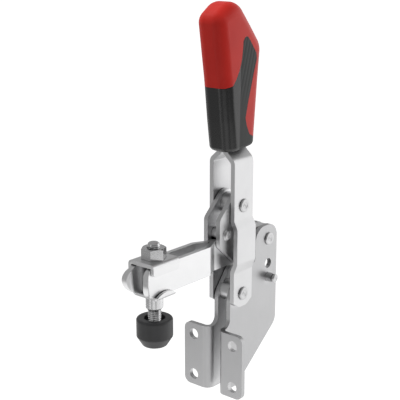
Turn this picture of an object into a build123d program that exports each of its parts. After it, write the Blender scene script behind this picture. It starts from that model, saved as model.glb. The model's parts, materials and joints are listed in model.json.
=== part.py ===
from build123d import *
import os
from math import cos, hypot, radians, sin, tan

# Toggle clamp with an upright handle, a forked clamping arm and an angle base.
# Units are millimetres. +X points forward along the clamping arm, +Y to the left, +Z up.
# The origin is the middle of the four mounting holes, on the front face of the flanges (x = 0).
# The clamp is drawn in the clamped position.

# --- Driving dimensions -------------------------------------------------------------------

SHEET = 3.0                  # thickness of every pressed steel part
TOUCH = 0.05                 # gap between parts that bear on each other and still move
SLIDE_GAP = 0.45             # gap between the lever bars and the plates inside them

# Pivots in the side view, as (x, z)
ARM_PIVOT = (-48.6, 70.0)
LEVER_PIVOT = (-17.5, 42.2)
LINK_TOP_PIVOT = (-17.5, 99.2)
LINK_ARM_PIVOT = (-18.0, 70.0)
STOP_RIVET = (-5.4, 82.45)

# Rivets and bushes
RIVET_RADIUS = 3.0
RUNNING_CLEARANCE = 0.08
RIVET_HEAD_RADIUS = 4.1
RIVET_HEAD_HEIGHT = 1.2
RIVET_HEAD_CHAMFER = 0.5
BUSH_RADIUS = 6.5
STOP_RIVET_RADIUS = 2.5
STOP_SPACER_RADIUS = 3.4
STOP_HEAD_RADIUS = 3.6       # low base of the stop rivet's head, which passes inside the lever bars
STOP_HEAD_BASE = 0.4
STOP_BUTTON_RADIUS = 2.85    # raised middle of the head, which passes in front of them
STOP_PIN_RADIUS = 3.0
STOP_PIN_REACH = 12.8        # half length of the stop pin
STOP_PIN_AT = (-48.3, 44.2)
SPARE_HOLE_AT = (-48.3, 53.4)
SPARE_HOLE_RADIUS = 3.25

# Layers from the middle plane outward: arm, then cheeks and link plates, then lever bars
CHEEK_IN = SHEET + 0.3
CHEEK_OUT = CHEEK_IN + SHEET
BAR_IN = CHEEK_OUT + SLIDE_GAP
BAR_STEP = 2.5               # how far the middle of a lever bar is joggled outward
BAR_OUT = BAR_IN + SHEET

# Base plates
FLANGE_HALF_WIDTH = 23.2
FLANGE_HALF_HEIGHT = 21.0
FLANGE_CORNER = 4.5
FOLD_INNER_RADIUS = 2.5
MOUNT_HOLE_RADIUS = 3.5
MOUNT_HOLE_Y = 15.6
MOUNT_HOLE_Z = 13.75
CHEEK_FRONT = -9.3           # front edge of the cheek above the flange
CHEEK_SHOULDER = 57.0
CHEEK_BOSS_RADIUS = 8.8      # rounded rear top corner about the arm pivot
CHEEK_TOP = 79.4
CHEEK_NECK_X = -34.75        # front edge of the cheek above the shoulder
CHEEK_NECK_RADIUS = 9.4
CHEEK_REAR_CORNER = 11.8     # height where the slanted lower edge meets the rear edge
CHEEK_BOTTOM_CORNER = -16.8  # where the slanted lower edge meets the bottom edge

# Clamping arm
ARM_HALF_HEIGHT = 9.0
ARM_MIDDLE_Z = ARM_PIVOT[1]
FORK_GAP = 8.8
JOGGLE_REAR_X = 3.4
JOGGLE_FRONT_X = 12.0
LIP_BEND_X = 66.4
LIP_LENGTH = 4.4
LIP_ANGLE = 38.0
FORK_TIP_X = 69.0
ARM_BEND_RADIUS = 2.0

# Lever bars
BAR_HALF_WIDTH = 9.1
BAR_BOTTOM_Z = 33.9
BAR_SIDE_END_Z = 37.4        # where the straight sides of a bar turn in to its blunt lower end
BAR_END_SLOPE = 5.5
BAR_JOGGLE_HEIGHTS = (57.8, 63.8, 85.2, 89.8)
BAR_SLANT_Z = 126.4
TANG_BOTTOM_Z = 132.6
TANG_TOP_Z = 190.0
BAR_BEND_RADIUS = 2.0

# Link plates: rounded corners as (x, z, radius)
LINK_EYES = (
    (LINK_TOP_PIVOT[0], LINK_TOP_PIVOT[1], 8.1),
    (LINK_ARM_PIVOT[0], LINK_ARM_PIVOT[1], 8.4),
    (-2.8, 91.2, 4.0),
    (-2.8, 77.8, 4.0),
)

# Spindle set, placed along the fork
SPINDLE_X = 53.0
WASHER_HALF_LENGTH = 10.8
WASHER_SHEET = 2.35
WASHER_BEND_RADIUS = 0.2
WASHER_HALF_WIDTH = 9.85
UPPER_FLAP_DEPTH = 4.7
FLAP_CORNER = 2.0
LOWER_WASHER_SHEET = 1.7
LOWER_WASHER_BEND_RADIUS = 0.5
LOWER_FLAP_HEIGHT = 2.4
LOWER_WASHER_HALF_LENGTH = 7.7
WASHER_HOLE_RADIUS = 4.35
THREAD_RADIUS = 4.0
NUT_ACROSS_FLATS = 13.0
NUT_HEIGHT = 6.5
NUT_TURN = 28.0              # degrees about Z
COLLAR_RADIUS = 5.2
COLLAR_LENGTH = 8.4
SCREW_TOP_Z = 91.2
SCREW_BOTTOM_Z = 31.5

# Pressure cap
CAP_RADIUS = 10.7
CAP_TOP_Z = 45.4
CAP_CONE_Z = 34.2
CAP_BOTTOM_Z = 28.5
CAP_FOOT_RADIUS = 7.1
CAP_RECESS_RADIUS = 6.2
CAP_RECESS_DEPTH = 3.5

# Grip: side view corners as (x, z, corner radius)
GRIP_CORNERS = (
    (-3.9, 133.2, 0.0),
    (-1.4, 152.0, 60.0),
    (1.2, 176.0, 90.0),
    (7.0, 214.0, 8.0),
    (-10.8, 225.0, 11.0),
    (-35.9, 196.0, 12.0),
    (-33.4, 172.0, 90.0),
    (-30.4, 135.8, 0.0),
)
GRIP_HALF_WIDTH_BOTTOM = 10.1
GRIP_HALF_WIDTH_TOP = 10.9
GRIP_CROWN_SPAN = (10.0, -42.0)
GRIP_CROWN = 1.7             # how far the sides fall away at the two ends of that span
GRIP_EDGE_RADIUS = 7.6
GRIP_RIM_RADIUS = 2.6        # rounding of the bottom rim
GRIP_SKIN = 2.0              # thickness of the soft black layer
TANG_MOUTH_HALF = 4.3        # half width of the opening in the black layer for the tang
TANG_MOUTH_GAP = 0.1
# Border between red and black in the side view, as (x, z)
BLACK_FRONT_BORDER = ((20.0, 172.6), (-1.0, 172.4), (-5.7, 173.8), (-8.5, 177.6), (-11.2, 182.5),
                      (-13.0, 188.0), (-13.9, 194.5), (-14.2, 199.0))
BLACK_TOP_BORDER = ((-17.2, 201.6), (-20.4, 199.6))
BLACK_REAR_BORDER = ((-27.4, 191.2), (-28.0, 187.5), (-25.2, 179.8), (-22.9, 172.3), (-20.2, 163.7),
                     (-17.6, 153.2), (-19.0, 148.4), (-22.0, 142.8), (-26.0, 141.0), (-45.0, 140.6))


# --- Helpers ------------------------------------------------------------------------------

def rounded_face(corners):
    """Face bounded by straight runs with rounded corners, from (x, y, radius) values."""
    points = [(x, y) for x, y, _ in corners]
    radii = [radius for _, _, radius in corners]
    return make_face(FilletPolyline(*points, radius=radii, close=True).edges())


def side_slab(face, y_low, y_high):
    """Extrude a side view face, drawn as (x, z), between two values of y."""
    return extrude(Plane.XZ.offset(-y_high) * face, amount=y_high - y_low)


def side_disc(center, radius, y_low, y_high):
    """Round bar along Y about a side view point (x, z)."""
    return side_slab(Pos(center[0], center[1]) * Circle(radius), y_low, y_high)


def folded_strip(points, thickness, inner_radius):
    """Section of a folded sheet: a run of points, thickened to its left, with rounded folds."""
    count = len(points)
    headings = []
    for (x0, y0), (x1, y1) in zip(points, points[1:]):
        length = hypot(x1 - x0, y1 - y0)
        headings.append(((x1 - x0) / length, (y1 - y0) / length))
    right_side = []
    left_side = []
    for index, (x, y) in enumerate(points):
        before = headings[max(index - 1, 0)]
        after = headings[min(index, count - 2)]
        mitre = 1 + before[0] * after[0] + before[1] * after[1]
        shift_x = -(before[1] + after[1]) / mitre * thickness
        shift_y = (before[0] + after[0]) / mitre * thickness
        turn = before[0] * after[1] - before[1] * after[0]
        if turn == 0:
            right_radius, left_radius = 0, 0
        elif turn > 0:
            right_radius, left_radius = inner_radius + thickness, inner_radius
        else:
            right_radius, left_radius = inner_radius, inner_radius + thickness
        right_side.append((x, y, right_radius))
        left_side.append((x + shift_x, y + shift_y, left_radius))
    return rounded_face(right_side + left_side[::-1])


def mirrored(part):
    """The same part on the other side of the middle plane."""
    return mirror(part, about=Plane.XZ)


def rivet(center, radius, head_radius, face_y):
    """Rivet along Y with a chamfered head outside each face at y = +-face_y."""
    head_top = face_y + RIVET_HEAD_HEIGHT
    shank = side_disc(center, radius, -face_y, face_y)
    for y_low, y_high, tip in ((face_y, head_top, head_top), (-head_top, -face_y, -head_top)):
        head = side_disc(center, head_radius, y_low, y_high)
        rim = head.edges().filter_by(GeomType.CIRCLE).filter_by(lambda e: abs(e.center().Y - tip) < TOUCH)
        shank += chamfer(rim, RIVET_HEAD_CHAMFER)
    return shank


# --- Base ---------------------------------------------------------------------------------

def base_plate():
    """Left base plate: upright cheek with a flange folded outward at its front."""
    run = [(ARM_PIVOT[0] - 15.0, CHEEK_IN), (0.0, CHEEK_IN), (0.0, FLANGE_HALF_WIDTH)]
    plan = folded_strip(run, SHEET, FOLD_INNER_RADIUS)
    blank = extrude(Pos(0, 0, -FLANGE_HALF_HEIGHT) * plan, amount=FLANGE_HALF_HEIGHT + CHEEK_TOP)
    rear = ARM_PIVOT[0] - CHEEK_BOSS_RADIUS
    cheek_outline = rounded_face((
        (0.0, -FLANGE_HALF_HEIGHT, 0.0),
        (0.0, FLANGE_HALF_HEIGHT, 0.0),
        (CHEEK_FRONT, FLANGE_HALF_HEIGHT, 5.0),
        (CHEEK_FRONT, 41.5, 9.0),
        (-21.8, CHEEK_SHOULDER, 9.0),
        (CHEEK_NECK_X, CHEEK_SHOULDER, 3.5),
        (CHEEK_NECK_X, CHEEK_TOP, CHEEK_NECK_RADIUS),
        (rear, CHEEK_TOP, CHEEK_BOSS_RADIUS),
        (rear, CHEEK_REAR_CORNER, 9.0),
        (CHEEK_BOTTOM_CORNER, -FLANGE_HALF_HEIGHT, 2.0),
    ))
    blank &= side_slab(cheek_outline, 0.0, FLANGE_HALF_WIDTH)
    corners = blank.edges().filter_by(Axis.X).filter_by(lambda e: e.center().Y > FLANGE_HALF_WIDTH - TOUCH)
    blank = fillet(corners, FLANGE_CORNER)
    for height in (-MOUNT_HOLE_Z, MOUNT_HOLE_Z):
        hole = Plane.YZ.offset(-SHEET - 1) * Pos(MOUNT_HOLE_Y, height) * Circle(MOUNT_HOLE_RADIUS)
        blank -= extrude(hole, amount=SHEET + 2)
    for center, radius in (
        (ARM_PIVOT, RIVET_RADIUS),
        (LEVER_PIVOT, RIVET_RADIUS),
        (STOP_PIN_AT, STOP_PIN_RADIUS),
        (SPARE_HOLE_AT, SPARE_HOLE_RADIUS),
    ):
        blank -= side_disc(center, radius, 0.0, CHEEK_OUT + 1)
    return blank


def stop_pin():
    """Pin through both cheeks that the lever bars meet when the clamp is fully open."""
    pin = side_disc(STOP_PIN_AT, STOP_PIN_RADIUS, -STOP_PIN_REACH, STOP_PIN_REACH)
    return fillet(pin.edges().filter_by(GeomType.CIRCLE), 0.8)


def link_stop_rivet():
    """Rivet with stepped heads, low enough at the rim to pass inside the lever bars."""
    base_face = CHEEK_OUT + STOP_HEAD_BASE
    body = side_disc(STOP_RIVET, STOP_RIVET_RADIUS, -CHEEK_OUT, CHEEK_OUT)
    for face in (CHEEK_OUT, -base_face):
        body += side_disc(STOP_RIVET, STOP_HEAD_RADIUS, face, face + STOP_HEAD_BASE)
    return body + rivet(STOP_RIVET, STOP_RIVET_RADIUS, STOP_BUTTON_RADIUS, base_face)


def ring(center, outer_radius, bore_radius, half_length):
    """Bush about the middle plane."""
    body = side_disc(center, outer_radius, -half_length, half_length)
    return body - side_disc(center, bore_radius, -half_length, half_length)


# --- Clamping arm -------------------------------------------------------------------------

def arm_half():
    """Left half of the arm: flat at the rear, spread into a fork, with a flared rounded lip."""
    half_gap = FORK_GAP / 2
    lip_reach = LIP_LENGTH + SHEET
    tip = (LIP_BEND_X + lip_reach * cos(radians(LIP_ANGLE)), half_gap + lip_reach * sin(radians(LIP_ANGLE)))
    run = [
        (ARM_PIVOT[0] - 15.0, 0.0),
        (JOGGLE_REAR_X, 0.0),
        (JOGGLE_FRONT_X, half_gap),
        (LIP_BEND_X, half_gap),
        tip,
    ]
    plan = folded_strip(run, SHEET, ARM_BEND_RADIUS)
    blank = extrude(Pos(0, 0, ARM_MIDDLE_Z - ARM_HALF_HEIGHT) * plan, amount=2 * ARM_HALF_HEIGHT)
    straight = FORK_TIP_X - ARM_PIVOT[0] + ARM_HALF_HEIGHT
    outline = Pos((FORK_TIP_X + ARM_PIVOT[0] - ARM_HALF_HEIGHT) / 2, ARM_MIDDLE_Z) * SlotOverall(
        straight, 2 * ARM_HALF_HEIGHT
    )
    blank &= side_slab(outline, -1.0, half_gap + SHEET + lip_reach)
    for center in (ARM_PIVOT, LINK_ARM_PIVOT):
        blank -= side_disc(center, RIVET_RADIUS + RUNNING_CLEARANCE, -1.0, SHEET + 1)
    return blank


# --- Link ---------------------------------------------------------------------------------

def link_plate():
    """Left link plate: one curved plate with eyes for the lever, the arm and the stop rivet."""
    face = make_hull([Pos(x, z) * Circle(radius).edge() for x, z, radius in LINK_EYES])
    plate = side_slab(face, CHEEK_IN, CHEEK_OUT)
    for center, radius in (
        (LINK_TOP_PIVOT, RIVET_RADIUS),
        (LINK_ARM_PIVOT, RIVET_RADIUS),
        (STOP_RIVET, STOP_RIVET_RADIUS),
    ):
        plate -= side_disc(center, radius, 0.0, CHEEK_OUT + 1)
    return plate


def link_bush():
    """Bush between the link plates at the top eye, with a journal through each plate."""
    body = side_disc(LINK_TOP_PIVOT, BUSH_RADIUS, -CHEEK_IN, CHEEK_IN)
    return body + side_disc(LINK_TOP_PIVOT, RIVET_RADIUS, -CHEEK_OUT, CHEEK_OUT)


# --- Lever --------------------------------------------------------------------------------

def lever_bar():
    """Left lever bar, joggled outward past the link rivets and drawn in at the top as a tang."""
    low_1, low_2, high_1, high_2 = BAR_JOGGLE_HEIGHTS
    bottom = BAR_BOTTOM_Z
    run = [
        (BAR_IN, bottom),
        (BAR_IN, low_1),
        (BAR_IN + BAR_STEP, low_2),
        (BAR_IN + BAR_STEP, high_1),
        (BAR_IN, high_2),
        (BAR_IN, BAR_SLANT_Z),
        (0.0, TANG_BOTTOM_Z),
        (0.0, TANG_TOP_Z),
    ]
    section = folded_strip(run[::-1], SHEET, BAR_BEND_RADIUS)
    front = LEVER_PIVOT[0] + BAR_HALF_WIDTH
    blank = extrude(Plane.YZ.offset(front - 2 * BAR_HALF_WIDTH) * section, amount=2 * BAR_HALF_WIDTH)
    rear = front - 2 * BAR_HALF_WIDTH
    outline = rounded_face((
        (front, BAR_SIDE_END_Z, 1.0),
        (front, TANG_TOP_Z, 4.0),
        (rear, TANG_TOP_Z, 4.0),
        (rear, BAR_SIDE_END_Z, 1.0),
        (rear + BAR_END_SLOPE, bottom, 5.0),
        (front - BAR_END_SLOPE, bottom, 5.0),
    ))
    blank &= side_slab(outline, -1.0, BAR_OUT + BAR_STEP + 1)
    blank -= side_disc(LEVER_PIVOT, RIVET_RADIUS + RUNNING_CLEARANCE, 0.0, BAR_OUT + 1)
    blank -= side_disc(LINK_TOP_PIVOT, RIVET_RADIUS, 0.0, BAR_OUT + 1)
    return blank


def link_lever_rivet():
    """Left rivet that carries the top eye of the link in the lever bar."""
    shank = side_disc(LINK_TOP_PIVOT, RIVET_RADIUS, BAR_IN, BAR_OUT)
    head = side_disc(LINK_TOP_PIVOT, RIVET_HEAD_RADIUS, BAR_OUT, BAR_OUT + RIVET_HEAD_HEIGHT)
    rim = head.edges().filter_by(GeomType.CIRCLE).sort_by(Axis.Y)[-1]
    return shank + chamfer(rim, RIVET_HEAD_CHAMFER)


def crowned_plan(half_width, height):
    """Plan view with gently crowned sides, longer than the grip at the front and the rear."""
    front, rear = GRIP_CROWN_SPAN
    middle = (front + rear) / 2
    edge = half_width - GRIP_CROWN
    outline = make_face([
        ThreePointArc((front, edge), (middle, half_width), (rear, edge)),
        Line((rear, edge), (rear, -edge)),
        ThreePointArc((rear, -edge), (middle, -half_width), (front, -edge)),
        Line((front, -edge), (front, edge)),
    ])
    return Plane.XY.offset(height) * outline


def grip_body(inset):
    """Whole outer form of the grip, or the core inside it by the inset."""
    side = rounded_face(GRIP_CORNERS)
    if inset:
        side = offset(side, -inset)
    bottom = min(z for _, z, _ in GRIP_CORNERS)
    top = max(z for _, z, _ in GRIP_CORNERS)
    wide_bottom = GRIP_HALF_WIDTH_BOTTOM - inset
    wide_top = GRIP_HALF_WIDTH_TOP - inset
    barrel = loft([crowned_plan(wide_bottom, bottom), crowned_plan(wide_top, top)], ruled=True)
    body = side_slab(side, -GRIP_HALF_WIDTH_TOP, GRIP_HALF_WIDTH_TOP) & barrel
    narrowest = wide_bottom - GRIP_CROWN
    underside = body.faces().sort_by(Axis.Z)[0]
    below = underside.bounding_box().max.Z
    rims = body.edges().filter_by(lambda e: abs(e.center().Y) > narrowest and e.center().Z > below + 1)
    body = fillet(rims, GRIP_EDGE_RADIUS - inset)
    if inset:
        return body
    return fillet(body.faces().sort_by(Axis.Z)[0].edges(), GRIP_RIM_RADIUS)


def grip_parts(bars):
    """Red shell and black body of the grip, with a pocket for the tang."""
    whole = grip_body(0.0)
    front = Polyline(*BLACK_FRONT_BORDER)
    top = Spline(BLACK_FRONT_BORDER[-1], *BLACK_TOP_BORDER)
    rear = Polyline(BLACK_TOP_BORDER[-1], *BLACK_REAR_BORDER)
    below = Polyline(BLACK_REAR_BORDER[-1], (-45.0, 120.0), (20.0, 120.0), BLACK_FRONT_BORDER[0])
    region = make_face([*front.edges(), *top.edges(), *rear.edges(), *below.edges()])
    core = grip_body(GRIP_SKIN)
    black = (whole & side_slab(region, -30.0, 30.0)) - core
    red = whole - black
    for bar in bars:
        red -= bar
    mouth = Pos(LEVER_PIVOT[0], 0, whole.bounding_box().min.Z) * Box(
        2 * (BAR_HALF_WIDTH + TANG_MOUTH_GAP), 2 * TANG_MOUTH_HALF, 6 * GRIP_SKIN
    )
    return red, black - mouth


# --- Spindle set --------------------------------------------------------------------------

def upright(radius, z_low, z_high):
    """Round bar on the spindle axis."""
    return extrude(Pos(SPINDLE_X, 0, z_low) * Circle(radius), amount=z_high - z_low)


ARM_TOP_Z = ARM_MIDDLE_Z + ARM_HALF_HEIGHT + TOUCH
ARM_BOTTOM_Z = ARM_MIDDLE_Z - ARM_HALF_HEIGHT - TOUCH


def upper_washer():
    """Saddle washer on the fork, with a flap folded down outside each wall."""
    top = ARM_TOP_Z + WASHER_SHEET
    run = [
        (WASHER_HALF_WIDTH, top - UPPER_FLAP_DEPTH - WASHER_SHEET),
        (WASHER_HALF_WIDTH, top),
        (-WASHER_HALF_WIDTH, top),
        (-WASHER_HALF_WIDTH, top - UPPER_FLAP_DEPTH - WASHER_SHEET),
    ]
    section = folded_strip(run, WASHER_SHEET, WASHER_BEND_RADIUS)
    plane = Plane.YZ.offset(SPINDLE_X - WASHER_HALF_LENGTH)
    washer = extrude(plane * section, amount=2 * WASHER_HALF_LENGTH)
    flap_bottom = run[0][1]
    outline = rounded_face((
        (SPINDLE_X - WASHER_HALF_LENGTH, flap_bottom, FLAP_CORNER),
        (SPINDLE_X + WASHER_HALF_LENGTH, flap_bottom, FLAP_CORNER),
        (SPINDLE_X + WASHER_HALF_LENGTH, top, 0.0),
        (SPINDLE_X - WASHER_HALF_LENGTH, top, 0.0),
    ))
    washer &= side_slab(outline, -WASHER_HALF_WIDTH, WASHER_HALF_WIDTH)
    return washer - upright(WASHER_HOLE_RADIUS, ARM_BOTTOM_Z, top + 1)


def lower_washer():
    """Saddle washer under the fork, with a low bow-shaped ear outside each wall."""
    bottom = ARM_BOTTOM_Z - LOWER_WASHER_SHEET
    run = [
        (-WASHER_HALF_WIDTH, ARM_BOTTOM_Z + LOWER_FLAP_HEIGHT),
        (-WASHER_HALF_WIDTH, bottom),
        (WASHER_HALF_WIDTH, bottom),
        (WASHER_HALF_WIDTH, ARM_BOTTOM_Z + LOWER_FLAP_HEIGHT),
    ]
    section = folded_strip(run, LOWER_WASHER_SHEET, LOWER_WASHER_BEND_RADIUS)
    half = LOWER_WASHER_HALF_LENGTH
    washer = extrude(Plane.YZ.offset(SPINDLE_X - half) * section, amount=2 * half)
    crown = ARM_BOTTOM_Z + LOWER_FLAP_HEIGHT
    bow = make_face([
        Polyline((SPINDLE_X - half, ARM_BOTTOM_Z), (SPINDLE_X - half, bottom),
                 (SPINDLE_X + half, bottom), (SPINDLE_X + half, ARM_BOTTOM_Z)),
        ThreePointArc((SPINDLE_X + half, ARM_BOTTOM_Z), (SPINDLE_X, crown),
                      (SPINDLE_X - half, ARM_BOTTOM_Z)),
    ])
    washer &= side_slab(bow, -WASHER_HALF_WIDTH, WASHER_HALF_WIDTH)
    return washer - upright(WASHER_HOLE_RADIUS, bottom - 1, crown)


def clamping_nut():
    """Hexagon nut with chamfered corners."""
    bottom = ARM_TOP_Z + WASHER_SHEET
    corner_radius = NUT_ACROSS_FLATS / 2 / cos(radians(30))
    flats = Rot(0, 0, NUT_TURN) * RegularPolygon(corner_radius, 6)
    nut = extrude(Pos(SPINDLE_X, 0, bottom) * flats, amount=NUT_HEIGHT)
    chamfer_height = (corner_radius - NUT_ACROSS_FLATS / 2) * tan(radians(30))
    cone = revolve(
        Plane.XZ * make_face(Polyline(
            (0, 0), (corner_radius, 0), (corner_radius, NUT_HEIGHT - chamfer_height),
            (NUT_ACROSS_FLATS / 2, NUT_HEIGHT), (0, NUT_HEIGHT), close=True)),
        Axis.Z,
    )
    nut &= Pos(SPINDLE_X, 0, bottom) * cone
    return nut - upright(THREAD_RADIUS + TOUCH, bottom - 1, bottom + NUT_HEIGHT + 1)


def collar_nut():
    """Round threaded collar under the lower washer."""
    top = ARM_BOTTOM_Z - LOWER_WASHER_SHEET
    collar = upright(COLLAR_RADIUS, top - COLLAR_LENGTH, top)
    rim = collar.edges().filter_by(GeomType.CIRCLE).sort_by(Axis.Z)[0]
    collar = chamfer(rim, 0.9)
    return collar - upright(THREAD_RADIUS + TOUCH, top - COLLAR_LENGTH - 1, top + 1)


def clamping_screw():
    """Clamping screw, with a domed top end."""
    screw = upright(THREAD_RADIUS, SCREW_BOTTOM_Z, SCREW_TOP_Z)
    tip = screw.edges().filter_by(GeomType.CIRCLE).sort_by(Axis.Z)[-1]
    return fillet(tip, 1.4)


def pressure_cap():
    """Rubber cap on the lower end of the screw, coned towards its foot."""
    recess_floor = CAP_TOP_Z - CAP_RECESS_DEPTH
    half = rounded_face((
        (0.0, CAP_BOTTOM_Z, 0.0),
        (CAP_FOOT_RADIUS, CAP_BOTTOM_Z, 1.2),
        (CAP_RADIUS, CAP_CONE_Z, 1.5),
        (CAP_RADIUS, CAP_TOP_Z, 1.4),
        (CAP_RECESS_RADIUS, CAP_TOP_Z, 0.4),
        (CAP_RECESS_RADIUS, recess_floor, 0.0),
        (THREAD_RADIUS, recess_floor, 0.0),
        (THREAD_RADIUS, SCREW_BOTTOM_Z, 0.0),
        (0.0, SCREW_BOTTOM_Z, 0.0),
    ))
    return Pos(SPINDLE_X, 0, 0) * revolve(Plane.XZ * half, Axis.Z)


# --- All pieces ---------------------------------------------------------------------------

def build_all():
    """Every piece by name."""
    bar = lever_bar()
    bars = (bar, mirrored(bar))
    red, black = grip_parts(bars)
    plate = base_plate()
    half = arm_half()
    link = link_plate()
    eye_rivet = link_lever_rivet()
    return {
        "base_plate_left": plate,
        "base_plate_right": mirrored(plate),
        "arm_pivot_rivet": rivet(ARM_PIVOT, RIVET_RADIUS, RIVET_HEAD_RADIUS, CHEEK_OUT),
        "lever_pivot_rivet": rivet(LEVER_PIVOT, RIVET_RADIUS, RIVET_HEAD_RADIUS, BAR_OUT + TOUCH),
        "lever_pivot_bush": ring(LEVER_PIVOT, BUSH_RADIUS, RIVET_RADIUS, CHEEK_IN),
        "stop_pin": stop_pin(),
        "arm_half_left": half,
        "arm_half_right": mirrored(half),
        "link_plate_left": link,
        "link_plate_right": mirrored(link),
        "link_arm_rivet": side_disc(LINK_ARM_PIVOT, RIVET_RADIUS, -CHEEK_OUT, CHEEK_OUT),
        "link_stop_rivet": link_stop_rivet(),
        "link_stop_spacer": ring(STOP_RIVET, STOP_SPACER_RADIUS, STOP_RIVET_RADIUS, CHEEK_IN),
        "link_bush": link_bush(),
        "lever_bar_left": bars[0],
        "lever_bar_right": bars[1],
        "link_lever_rivet_left": eye_rivet,
        "link_lever_rivet_right": mirrored(eye_rivet),
        "grip_red_shell": red,
        "grip_black_body": black,
        "upper_flanged_washer": upper_washer(),
        "lower_flanged_washer": lower_washer(),
        "clamping_nut": clamping_nut(),
        "collar_nut": collar_nut(),
        "clamping_screw": clamping_screw(),
        "pressure_cap": pressure_cap(),
    }


os.makedirs("parts", exist_ok=True)
for name, piece in build_all().items():
    solids = piece.solids()
    export_step(solids[0] if len(solids) == 1 else Compound(children=list(solids)), f"parts/{name}.step")
    print(name, len(solids), round(piece.volume, 1))
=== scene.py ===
import json
import math

import bpy
from mathutils import Matrix, Vector


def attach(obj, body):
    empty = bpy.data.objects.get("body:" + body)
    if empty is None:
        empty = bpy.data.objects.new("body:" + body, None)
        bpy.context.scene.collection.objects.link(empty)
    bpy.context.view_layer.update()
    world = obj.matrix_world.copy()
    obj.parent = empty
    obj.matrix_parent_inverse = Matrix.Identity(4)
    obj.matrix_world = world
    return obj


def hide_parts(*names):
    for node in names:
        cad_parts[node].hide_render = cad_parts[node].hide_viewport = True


# Toggle clamp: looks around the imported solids. Metres; +X forward, +Y left, +Z up.

MM = 0.001
WHITE = (1.0, 1.0, 1.0, 1.0)

# Looks
CREASE_SHADE = (0.07, 0.07, 0.072)    # painted shade: darker line where pieces meet
CREASE_REACH = 1.6 * MM
RECESS_REACH = 14.0 * MM             # gaps narrower than this take the painted recess light and shade
PANEL_EDGE_X = -12.2 * MM            # front edge of the matte panel on the sides of the grip
PANEL_EDGE_BLUR = 0.4 * MM
GROOVE_PITCH = 3.1 * MM
GROOVE_LEAN = 0.28                   # how far the grooves move in x for each step up
GROOVE_FROM_Z = 160.0 * MM
GROOVE_FADE = 12.0 * MM              # height over which the grooves come in
ROLLED = (1.0, 1.0, 0.12)            # streaks run up the sheet
ROLLED_LENGTHWISE = (0.12, 1.0, 1.0)
SHEET_EDGE = 0.35 * MM               # rounding of the sheared edges
SMALL_EDGE = 0.15 * MM
PLASTIC_EDGE = 0.5 * MM              # opens a fine groove where the red and black plastics meet
SHARP_FROM = 25.0                    # degrees; an edge at least this sharp is rounded
PLASTIC_SHARP_FROM = 40.0

# Pins and rivets in millimetres: centres in the side view as (x, z)
ARM_PIVOT = (-48.6, 70.0)
LEVER_PIVOT = (-17.5, 42.2)
LINK_TOP_PIVOT = (-17.5, 99.2)
STOP_RIVET = (-5.4, 82.45)
STOP_PIN_AT = (-48.3, 44.2)
RIVET_RADIUS = 3.0
RIVET_HEAD_RADIUS = 4.1
RIVET_HEAD_HEIGHT = 1.2
CHEEK_OUT = 6.3                      # outer face of the cheeks and link plates, from the middle plane
BAR_IN = 6.75
BAR_OUT = 9.75                       # outer face of the lever bars
LEVER_HEAD_FOOT = 9.8                # its heads run just clear of the lever bars
STOP_RIVET_RADIUS = 2.5
STOP_HEAD_RADIUS = 3.6
STOP_HEAD_BASE = 6.7                 # top of the stop rivet's low head base
STOP_BUTTON_RADIUS = 2.85

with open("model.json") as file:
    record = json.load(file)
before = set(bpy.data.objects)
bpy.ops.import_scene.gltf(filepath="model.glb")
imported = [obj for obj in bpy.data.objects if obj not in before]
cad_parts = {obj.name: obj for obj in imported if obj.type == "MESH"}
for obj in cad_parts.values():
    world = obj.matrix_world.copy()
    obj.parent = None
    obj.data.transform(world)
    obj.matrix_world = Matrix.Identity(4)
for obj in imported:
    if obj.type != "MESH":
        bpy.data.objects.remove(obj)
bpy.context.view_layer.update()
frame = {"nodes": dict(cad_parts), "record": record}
nodes = frame["nodes"]
scene = bpy.context.scene


# --- Node helpers -------------------------------------------------------------------------

def new_material(name):
    material = bpy.data.materials.new(name)
    material.use_nodes = True
    tree = material.node_tree
    shader = tree.nodes["Principled BSDF"]
    return material, tree, shader


def add(tree, kind, **values):
    node = tree.nodes.new(kind)
    for key, value in values.items():
        setattr(node, key, value)
    return node


def noise(tree, scale, detail=2.0, stretch=(1.0, 1.0, 1.0)):
    """Noise over the piece's own coordinates, in metres."""
    coordinates = add(tree, "ShaderNodeTexCoord")
    mapping = add(tree, "ShaderNodeMapping")
    mapping.inputs["Scale"].default_value = stretch
    texture = add(tree, "ShaderNodeTexNoise")
    texture.inputs["Scale"].default_value = scale
    texture.inputs["Detail"].default_value = detail
    tree.links.new(coordinates.outputs["Object"], mapping.inputs["Vector"])
    tree.links.new(mapping.outputs["Vector"], texture.inputs["Vector"])
    return texture.outputs["Fac"]


def ramp(tree, value, low, high, at_low=0.3, at_high=0.7):
    """Spread a 0 to 1 value between two numbers."""
    node = add(tree, "ShaderNodeMapRange")
    node.inputs["From Min"].default_value = at_low
    node.inputs["From Max"].default_value = at_high
    node.inputs["To Min"].default_value = low
    node.inputs["To Max"].default_value = high
    tree.links.new(value, node.inputs["Value"])
    return node.outputs["Result"]


def blend_colors(tree, value, first, second):
    """Colour between two colours, each a socket or (red, green, blue)."""
    node = add(tree, "ShaderNodeMix", data_type="RGBA")
    for socket, color in ((node.inputs[6], first), (node.inputs[7], second)):
        if isinstance(color, tuple):
            socket.default_value = (*color, 1.0)
        else:
            tree.links.new(color, socket)
    tree.links.new(value, node.inputs[0])
    return node.outputs[2]


def math_node(tree, operation, first, second):
    """Result of an operation on two values, each a socket or a number."""
    node = add(tree, "ShaderNodeMath", operation=operation)
    for socket, value in zip(node.inputs, (first, second)):
        if isinstance(value, (int, float)):
            socket.default_value = value
        else:
            tree.links.new(value, socket)
    return node.outputs[0]


def bump(tree, height, strength, distance):
    node = add(tree, "ShaderNodeBump")
    node.inputs["Strength"].default_value = strength
    node.inputs["Distance"].default_value = distance
    tree.links.new(height, node.inputs["Height"])
    return node.outputs["Normal"]


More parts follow.
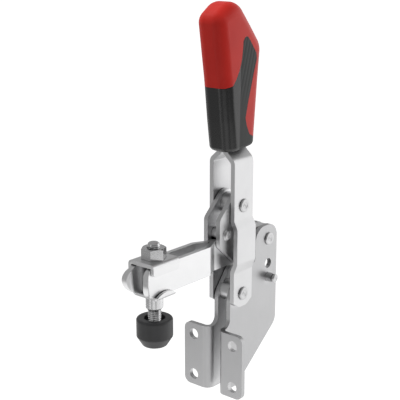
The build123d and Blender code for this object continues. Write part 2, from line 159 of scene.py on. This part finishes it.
def open_share(tree, reach):
    """1 on open faces, falling towards 0 in recesses narrower than the reach."""
    node = add(tree, "ShaderNodeAmbientOcclusion", samples=8)
    node.inputs["Distance"].default_value = reach
    return node.outputs["AO"]


def steel(name, tone, roughness, grain=(1.0, 1.0, 1.0), recess_light_and_shade=(0.85, 0.85, 0.855)):
    """Zinc-plated steel: satin plating with faint rolling streaks, painted light and shade in the recesses
    and painted shade in the creases where pieces meet.
    """
    material, tree, shader = new_material(name)
    cloud = ramp(tree, noise(tree, 90.0, 2.0), 0.0, 1.0)
    dull = tuple(value * 0.97 for value in tone)
    plating = blend_colors(tree, cloud, dull, tone)
    # painted light and shade in the recesses: narrow gaps take the recess tone, lighter than the plating on
    # most pieces and darker on the lever bars
    outside = ramp(tree, open_share(tree, RECESS_REACH), 0.0, 1.0, 0.1, 0.8)
    shade = blend_colors(tree, outside, recess_light_and_shade, plating)
    # painted shade in the creases where pieces meet
    clear = ramp(tree, open_share(tree, CREASE_REACH), 0.0, 1.0, 0.25, 0.7)
    tree.links.new(blend_colors(tree, clear, CREASE_SHADE, shade), shader.inputs["Base Color"])
    streaks = noise(tree, 900.0, 3.0, grain)
    tree.links.new(ramp(tree, streaks, roughness - 0.02, roughness + 0.02), shader.inputs["Roughness"])
    tree.links.new(bump(tree, streaks, 0.03, 0.00001), shader.inputs["Normal"])
    shader.inputs["Metallic"].default_value = 1.0
    return material


def plastic(name, dark, light, roughness, gloss, grain_scale, grain_depth):
    """Moulded plastic with a fine grain."""
    material, tree, shader = new_material(name)
    cloud = ramp(tree, noise(tree, 60.0, 2.0), 0.0, 1.0)
    tree.links.new(blend_colors(tree, cloud, dark, light), shader.inputs["Base Color"])
    grain = noise(tree, grain_scale, 2.0)
    tree.links.new(ramp(tree, grain, roughness - 0.04, roughness + 0.04), shader.inputs["Roughness"])
    tree.links.new(bump(tree, grain, 0.3, grain_depth), shader.inputs["Normal"])
    shader.inputs["Specular IOR Level"].default_value = gloss
    return material


def grooved_plastic(name, front_tone, panel_tone):
    """Glossy black front; matte grooved panel on each side behind the panel edge, with painted shade in the
    grooves.
    """
    material, tree, shader = new_material(name)
    coordinates = add(tree, "ShaderNodeTexCoord")
    split = add(tree, "ShaderNodeSeparateXYZ")
    tree.links.new(coordinates.outputs["Object"], split.inputs[0])
    x, _, z = split.outputs
    panel = ramp(tree, x, 1.0, 0.0, PANEL_EDGE_X - PANEL_EDGE_BLUR, PANEL_EDGE_X + PANEL_EDGE_BLUR)
    lean = math_node(tree, "MULTIPLY", math_node(tree, "SUBTRACT", z, GROOVE_FROM_Z), GROOVE_LEAN)
    across = math_node(tree, "ADD", x, lean)
    wave = math_node(tree, "PINGPONG", across, GROOVE_PITCH / 2)
    ridge = ramp(tree, wave, 0.0, 1.0, 0.1 * GROOVE_PITCH, 0.3 * GROOVE_PITCH)
    upper = ramp(tree, z, 0.0, 1.0, GROOVE_FROM_Z, GROOVE_FROM_Z + GROOVE_FADE)
    grooved = math_node(tree, "MULTIPLY", upper, panel)
    groove_with_shade = math_node(tree, "MULTIPLY", math_node(tree, "SUBTRACT", 1.0, ridge), grooved)
    tone = blend_colors(tree, panel, front_tone, panel_tone)
    # painted shade: the grooves are darkened towards the black of the front
    tone = blend_colors(tree, math_node(tree, "MULTIPLY", groove_with_shade, 0.8), tone, front_tone)
    tree.links.new(tone, shader.inputs["Base Color"])
    tree.links.new(ramp(tree, panel, 0.25, 0.6, 0.0, 1.0), shader.inputs["Roughness"])
    height = math_node(tree, "SUBTRACT", math_node(tree, "MULTIPLY", noise(tree, 3000.0), 0.05), groove_with_shade)
    tree.links.new(bump(tree, height, 0.8, 0.00012), shader.inputs["Normal"])
    shader.inputs["Specular IOR Level"].default_value = 0.65
    return material


zinc_arm = steel("zinc_arm", (0.75, 0.75, 0.755), 0.34, ROLLED_LENGTHWISE)
# the lever bars' dark recess tone is painted shade on their inner faces
zinc_bar = steel("zinc_bar", (0.62, 0.62, 0.625), 0.36, ROLLED, (0.3, 0.3, 0.305))
zinc_link = steel("zinc_link", (0.55, 0.55, 0.555), 0.38, ROLLED)
zinc_base = steel("zinc_base", (0.47, 0.47, 0.475), 0.38, ROLLED)
zinc_washer = steel("zinc_washer", (0.72, 0.72, 0.725), 0.32)
zinc_turned = steel("zinc_turned", (0.60, 0.60, 0.605), 0.22)
rivet_steel = steel("rivet_steel", (0.55, 0.55, 0.555), 0.34)
red = plastic("red_plastic", (0.60, 0.016, 0.009), (0.66, 0.021, 0.012), 0.40, 0.35, 2600.0, 0.00002)
black = grooved_plastic("black_plastic", (0.004, 0.004, 0.0042), (0.010, 0.012, 0.0115))
rubber = plastic("cap_rubber", (0.020, 0.020, 0.021), (0.030, 0.030, 0.032), 0.45, 0.6, 2400.0, 0.00004)

SLOT_MATERIALS = {
    "zinc_steel": zinc_washer,
    "rivet_steel": rivet_steel,
    "fastener_steel": zinc_turned,
    "red_plastic": red,
    "black_plastic": black,
    "cap_rubber": rubber,
}


# --- Carried-over solids ------------------------------------------------------------------

def soften(obj, width, angle=SHARP_FROM):
    """Small rounding on the sharp edges of a solid."""
    weld = obj.modifiers.new("weld", "WELD")
    weld.merge_threshold = 1e-6
    bevel = obj.modifiers.new("bevel", "BEVEL")
    bevel.width = width
    bevel.segments = 2
    bevel.limit_method = "ANGLE"
    bevel.angle_limit = math.radians(angle)
    bevel.miter_outer = "MITER_ARC"
    normals = obj.modifiers.new("normals", "WEIGHTED_NORMAL")
    normals.keep_sharp = False


SHEET_MATERIALS = {
    "base_plate": zinc_base,
    "arm_half": zinc_arm,
    "link_plate": zinc_link,
    "lever_bar": zinc_bar,
}

for part in frame["record"]["subparts"]:
    obj = nodes[part["node"]]
    material = SLOT_MATERIALS[part["material_slot"]]
    for prefix, sheet_material in SHEET_MATERIALS.items():
        if part["node"].startswith(prefix):
            material = sheet_material
    obj.data.materials.clear()
    obj.data.materials.append(material)
    if material in SHEET_MATERIALS.values():
        soften(obj, SHEET_EDGE)
    elif material in (zinc_washer, zinc_turned, rivet_steel):
        soften(obj, SMALL_EDGE)
    elif material in (red, black):
        soften(obj, PLASTIC_EDGE, PLASTIC_SHARP_FROM)


# --- Turned pieces ------------------------------------------------------------------------

AROUND = 48                  # steps round a turned piece
SMOOTH_BELOW = 38.0          # degrees; edges of turned pieces shade smooth up to this


def add_piece(name, points, faces, material, body, nodes_replaced):
    """Mesh piece from points in millimetres, shaded smooth up to sharp edges."""
    mesh = bpy.data.meshes.new(name)
    mesh.from_pydata([tuple(value * MM for value in point) for point in points], [], faces)
    mesh.materials.append(material)
    mesh.update()
    mesh.shade_smooth()
    mesh.set_sharp_from_angle(angle=math.radians(SMOOTH_BELOW))
    obj = bpy.data.objects.new(name, mesh)
    scene.collection.objects.link(obj)
    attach(obj, body)
    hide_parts(*nodes_replaced)
    return obj


def turned(rings):
    """Points and faces of a closed turned solid. A ring is a list of (radius, height) round the axis."""
    points = [(0.0, 0.0, rings[0][0][1])]
    for ring in rings:
        for step, (radius, height) in enumerate(ring):
            angle = 2 * math.pi * step / AROUND
            points.append((radius * math.cos(angle), radius * math.sin(angle), height))
    points.append((0.0, 0.0, rings[-1][0][1]))
    last = len(points) - 1
    faces = []
    for step in range(AROUND):
        after = (step + 1) % AROUND
        faces.append((0, 1 + after, 1 + step))
        for row in range(len(rings) - 1):
            low = 1 + row * AROUND
            high = low + AROUND
            faces.append((low + step, low + after, high + after, high + step))
        top = last - AROUND
        faces.append((top + step, top + after, last))
    return points, faces


def plain_rings(profile):
    return [[(radius, height)] * AROUND for radius, height in profile]


def along_y(points, center, side=1.0):
    """Turn a piece from the Z axis to +Y or -Y about a side view point (x, z)."""
    return [(center[0] + side * x, side * z, center[1] - y) for x, y, z in points]


# Clamping screw: M8 thread, domed top with a small centre mark
SCREW_AT = 53.0
SCREW_BOTTOM = 31.5
THREAD_TOP = 89.4
PITCH = 1.25
CREST_RADIUS = 3.97
THREAD_DEPTH = 0.66
ROWS_PER_PITCH = 6
SCREW_DOME = (
    (3.5, 89.8), (3.3, 90.35), (2.7, 90.85), (1.8, 91.12), (1.15, 91.18), (0.8, 91.05), (0.3, 90.8),
)


def thread_radius(step, height):
    """Rounded V thread: crest where the turn and the height are in step."""
    phase = (height / PITCH - step / AROUND) % 1.0
    return CREST_RADIUS - THREAD_DEPTH * (1 - abs(2 * phase - 1))


rows = int((THREAD_TOP - SCREW_BOTTOM) * ROWS_PER_PITCH / PITCH)
screw_rings = []
for row in range(rows + 1):
    height = SCREW_BOTTOM + row * PITCH / ROWS_PER_PITCH
    screw_rings.append([(thread_radius(step, height), height) for step in range(AROUND)])
screw_points, screw_faces = turned(screw_rings + plain_rings(SCREW_DOME))
screw_points = [(x + SCREW_AT, y, z) for x, y, z in screw_points]
add_piece("clamping_screw_thread", screw_points, screw_faces, zinc_turned, "screw", ["clamping_screw"])


# Rivets: rolled heads with a raised rim and a small centre mark
def rivet_profile(shank, head, foot):
    """Half of a rivet from the middle plane outward, as (radius, height)."""
    top = foot + RIVET_HEAD_HEIGHT
    return (
        (shank, 0.0), (shank, foot), (head - 0.25, foot), (head, foot + 0.2), (head, top - 0.5),
        (head - 0.15, top - 0.2), (head - 0.5, top), (0.52 * head, top), (0.46 * head, top - 0.18),
        (0.4 * head, top - 0.18), (0.34 * head, top - 0.02), (0.2 * head, top - 0.02),
        (0.1 * head, top - 0.3),
    )


def through_rivet(name, center, body, node, half):
    far = [(radius, -height) for radius, height in reversed(half)]
    points, faces = turned(plain_rings(far + list(half)[1:]))
    add_piece(name, along_y(points, center), faces, rivet_steel, body, [node])


arm_half = rivet_profile(RIVET_RADIUS, RIVET_HEAD_RADIUS, CHEEK_OUT)
through_rivet("arm_rivet_heads", ARM_PIVOT, "base", "arm_pivot_rivet", arm_half)
lever_half = rivet_profile(RIVET_RADIUS, RIVET_HEAD_RADIUS, LEVER_HEAD_FOOT)
through_rivet("lever_rivet_heads", LEVER_PIVOT, "base", "lever_pivot_rivet", lever_half)

# The stop rivet has a wide low head base and a narrower button on it
stop_base = (
    (STOP_RIVET_RADIUS, 0.0), (STOP_RIVET_RADIUS, CHEEK_OUT),
    (STOP_HEAD_RADIUS, CHEEK_OUT), (STOP_HEAD_RADIUS, STOP_HEAD_BASE),
)
stop_button = rivet_profile(STOP_BUTTON_RADIUS, STOP_BUTTON_RADIUS, STOP_HEAD_BASE)
through_rivet("stop_rivet_heads", STOP_RIVET, "link", "link_stop_rivet", stop_base + stop_button[3:])

# A rivet in each lever bar carries the top eye of the link
eye_half = ((RIVET_RADIUS, BAR_IN),) + rivet_profile(RIVET_RADIUS, RIVET_HEAD_RADIUS, BAR_OUT)[1:]
for side, label in ((1.0, "left"), (-1.0, "right")):
    points, faces = turned(plain_rings(eye_half))
    add_piece(
        "link_rivet_head_" + label, along_y(points, LINK_TOP_PIVOT, side), faces, rivet_steel,
        "lever", ["link_lever_rivet_" + label],
    )

# Stop pin: groove behind a domed end
pin_half = (
    (3.0, 0.0), (3.0, 10.6), (2.45, 10.75), (2.45, 11.15), (2.9, 11.3), (2.9, 11.9), (2.6, 12.4),
    (2.0, 12.7), (1.2, 12.8), (0.9, 12.65), (0.4, 12.6),
)
through_rivet("grooved_stop_pin", STOP_PIN_AT, "base", "stop_pin", pin_half)


# --- Camera -------------------------------------------------------------------------------

AZIMUTH = math.radians(130.21)
ELEVATION = math.radians(15.21)
CAMERA_AT = (448.66, 368.85, 262.42)    # millimetres
LENS = 90.0
SENSOR_WIDTH = 36.0

back = Vector((
    math.sin(AZIMUTH) * math.cos(ELEVATION),
    -math.cos(AZIMUTH) * math.cos(ELEVATION),
    math.sin(ELEVATION),
))
right = Vector((math.cos(AZIMUTH), math.sin(AZIMUTH), 0.0))
up = back.cross(right)
camera_data = bpy.data.cameras.new("camera")
camera_data.lens = LENS
camera_data.sensor_width = SENSOR_WIDTH
camera = bpy.data.objects.new("camera", camera_data)
scene.collection.objects.link(camera)
turn = Matrix((right, up, back)).transposed().to_4x4()
camera.matrix_world = Matrix.Translation(Vector(CAMERA_AT) * MM) @ turn
scene.camera = camera


# --- Floor, world and lamps ---------------------------------------------------------------

FLOOR_SIZE = 40.0
FLOOR_Z = -0.30
FLOOR_TONE = (0.5, 0.5, 0.5, 1.0)
FLOOR_GLOW = 0.82            # lifts the floor to white where it is seen, and lights nothing
WORLD_LIGHT = 0.4
CARD_RADIUS = 0.8
CARD_LOW = -0.29
CARD_TOP = 0.6
CARD_STEPS = 24
RING_TOP = 0.62
CEILING_Z = 0.61
CEILING_STEP = 10            # degrees
LAMP_AIM = Vector((0.0, 0.0, 0.1))

# Name, start and end angle, bottom, top and level of each card
CARDS = (
    ("card_dark", -88.0, -20.0, CARD_LOW, CARD_TOP, 0.4),
    ("card_front", -6.0, 120.0, -0.11, CARD_TOP, 0.22),
    ("card_low_front", -6.0, 18.0, CARD_LOW, -0.11, 0.5),
    ("card_low_side", 50.0, 68.0, CARD_LOW, -0.11, 0.5),
    ("card_side", 121.0, 183.0, CARD_LOW, CARD_TOP, 1.4),
    ("card_rear", 184.0, 208.0, CARD_LOW, CARD_TOP, 0.85),
    ("card_back", 209.0, 270.0, -0.10, CARD_TOP, 0.42),
    ("card_top", 0.0, 360.0, CARD_TOP, RING_TOP, 0.42),
)


def stage_plane(name, size, location, material):
    mesh = bpy.data.meshes.new(name)
    half = size / 2
    corners = [(-half, -half, 0), (half, -half, 0), (half, half, 0), (-half, half, 0)]
    mesh.from_pydata(corners, [], [(0, 1, 2, 3)])
    mesh.materials.append(material)
    obj = bpy.data.objects.new(name, mesh)
    obj.location = location
    scene.collection.objects.link(obj)
    return obj


def background_share(tree):
    """1 for rays that see the background: from the camera, in reflections and through glass."""
    path = add(tree, "ShaderNodeLightPath").outputs
    seen = math_node(tree, "MAXIMUM", path["Is Camera Ray"], path["Is Glossy Ray"])
    return math_node(tree, "MAXIMUM", seen, path["Is Transmission Ray"])


floor_material, floor_tree, floor_shader = new_material("floor_white")
floor_shader.inputs["Base Color"].default_value = FLOOR_TONE
floor_shader.inputs["Roughness"].default_value = 0.9
floor_glow = add(floor_tree, "ShaderNodeEmission")
floor_glow.inputs["Strength"].default_value = FLOOR_GLOW
floor_dark = add(floor_tree, "ShaderNodeEmission")
floor_dark.inputs["Strength"].default_value = 0.0
floor_pick = add(floor_tree, "ShaderNodeMixShader")
floor_sum = add(floor_tree, "ShaderNodeAddShader")
floor_tree.links.new(background_share(floor_tree), floor_pick.inputs[0])
floor_tree.links.new(floor_dark.outputs[0], floor_pick.inputs[1])
floor_tree.links.new(floor_glow.outputs[0], floor_pick.inputs[2])
floor_tree.links.new(floor_shader.outputs[0], floor_sum.inputs[0])
floor_tree.links.new(floor_pick.outputs[0], floor_sum.inputs[1])
floor_tree.links.new(floor_sum.outputs[0], floor_tree.nodes["Material Output"].inputs["Surface"])
stage_plane("floor", FLOOR_SIZE, (0.0, 0.0, FLOOR_Z), floor_material)

world = bpy.data.worlds.new("studio")
scene.world = world
world.use_nodes = True
world_tree = world.node_tree
world_light = world_tree.nodes["Background"]
world_light.inputs["Color"].default_value = WHITE
world_light.inputs["Strength"].default_value = WORLD_LIGHT
world_white = add(world_tree, "ShaderNodeBackground")
world_white.inputs["Color"].default_value = WHITE
world_white.inputs["Strength"].default_value = 1.0
world_pick = add(world_tree, "ShaderNodeMixShader")
world_tree.links.new(background_share(world_tree), world_pick.inputs[0])
world_tree.links.new(world_light.outputs[0], world_pick.inputs[1])
world_tree.links.new(world_white.outputs[0], world_pick.inputs[2])
world_tree.links.new(world_pick.outputs[0], world_tree.nodes["World Output"].inputs["Surface"])


def reflection_mesh(name, points, faces, material):
    """Glowing sheet that only reflections see."""
    mesh = bpy.data.meshes.new(name)
    mesh.from_pydata(points, [], faces)
    mesh.materials.append(material)
    obj = bpy.data.objects.new(name, mesh)
    scene.collection.objects.link(obj)
    obj.visible_camera = False
    obj.visible_diffuse = False
    obj.visible_shadow = False
    obj.visible_transmission = False
    return obj


def card_point(degrees, height):
    """Point at the cards' radius. Angles run from +X towards +Y."""
    angle = math.radians(degrees)
    return (CARD_RADIUS * math.cos(angle), CARD_RADIUS * math.sin(angle), height)


def reflection_card(name, start, end, bottom, top, level):
    """Upright curved card round the clamp, between two angles."""
    material = bpy.data.materials.new(name)
    material.use_nodes = True
    tree = material.node_tree
    glow = add(tree, "ShaderNodeEmission")
    glow.inputs["Color"].default_value = WHITE
    glow.inputs["Strength"].default_value = level
    tree.links.new(glow.outputs[0], tree.nodes["Material Output"].inputs["Surface"])
    points = []
    for step in range(CARD_STEPS + 1):
        degrees = start + (end - start) * step / CARD_STEPS
        points += [card_point(degrees, bottom), card_point(degrees, top)]
    faces = [(2 * step, 2 * step + 2, 2 * step + 3, 2 * step + 1) for step in range(CARD_STEPS)]
    return reflection_mesh(name, points, faces, material)


card_materials = {}
for card_name, *card_values in CARDS:
    card_materials[card_name] = reflection_card(card_name, *card_values).data.materials[0]
ceiling_points = [card_point(degrees, CEILING_Z) for degrees in range(0, 360, CEILING_STEP)]
ceiling_face = tuple(range(len(ceiling_points)))
reflection_mesh("card_ceiling", ceiling_points, [ceiling_face], card_materials["card_top"])


def area_lamp(name, azimuth, elevation, distance, size, power):
    """Soft box that looks at the clamp from a direction given from +X towards +Y, unseen in reflections."""
    turn_angle = math.radians(azimuth)
    rise_angle = math.radians(elevation)
    direction = Vector((
        math.cos(turn_angle) * math.cos(rise_angle),
        math.sin(turn_angle) * math.cos(rise_angle),
        math.sin(rise_angle),
    ))
    data = bpy.data.lights.new(name, "AREA")
    data.shape = "SQUARE"
    data.size = size
    data.energy = power
    lamp = bpy.data.objects.new(name, data)
    lamp.location = LAMP_AIM + direction * distance
    lamp.rotation_euler = direction.to_track_quat("Z", "Y").to_euler()
    lamp.visible_camera = False
    lamp.visible_glossy = False
    scene.collection.objects.link(lamp)
    return lamp


area_lamp("key_lamp", azimuth=-70.0, elevation=58.0, distance=0.6, size=0.4, power=2.2)
area_lamp("side_lamp", azimuth=110.0, elevation=22.0, distance=1.2, size=0.9, power=4.0)

scene.view_settings.view_transform = "Standard"
